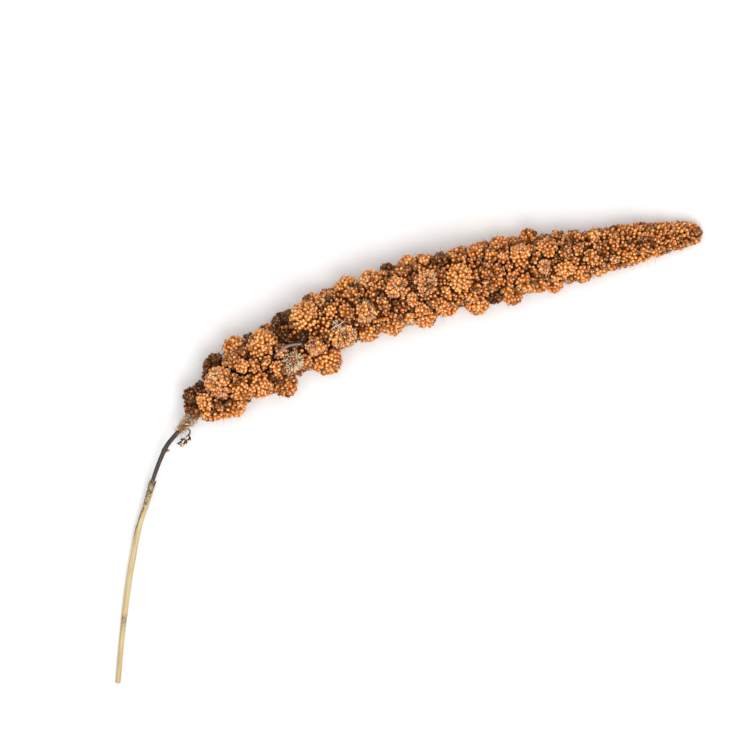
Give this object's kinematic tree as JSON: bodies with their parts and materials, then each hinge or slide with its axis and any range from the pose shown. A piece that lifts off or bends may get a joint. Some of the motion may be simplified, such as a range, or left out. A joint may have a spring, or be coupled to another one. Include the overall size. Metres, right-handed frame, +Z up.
{
  "type": "millet seed head",
  "caption": "Dried foxtail millet seed head lying on a surface: a curved spike of grain clusters that tapers to a tip, on a thin cut stem in a straw leaf sheath.",
  "frame": {"origin": "on the resting surface, under the middle of the whole piece's box seen from above", "axes": "+X from the head's base towards its tip, +Y to the left of that seen from above, +Z up from the surface"},
  "size_m": [0.2481, 0.1955, 0.0288],
  "materials": {
    "grain": "glossy orange-brown grains in matt papery husks",
    "stem_skin": "satin, dark purple-brown dried stalk",
    "straw": "satin pale straw with fine lengthwise fibres"
  },
  "bodies": {
    "root": {"grain_head": "grain", "stem": "stem_skin", "leaf_sheath": "straw"}
  },
  "joints": []
}
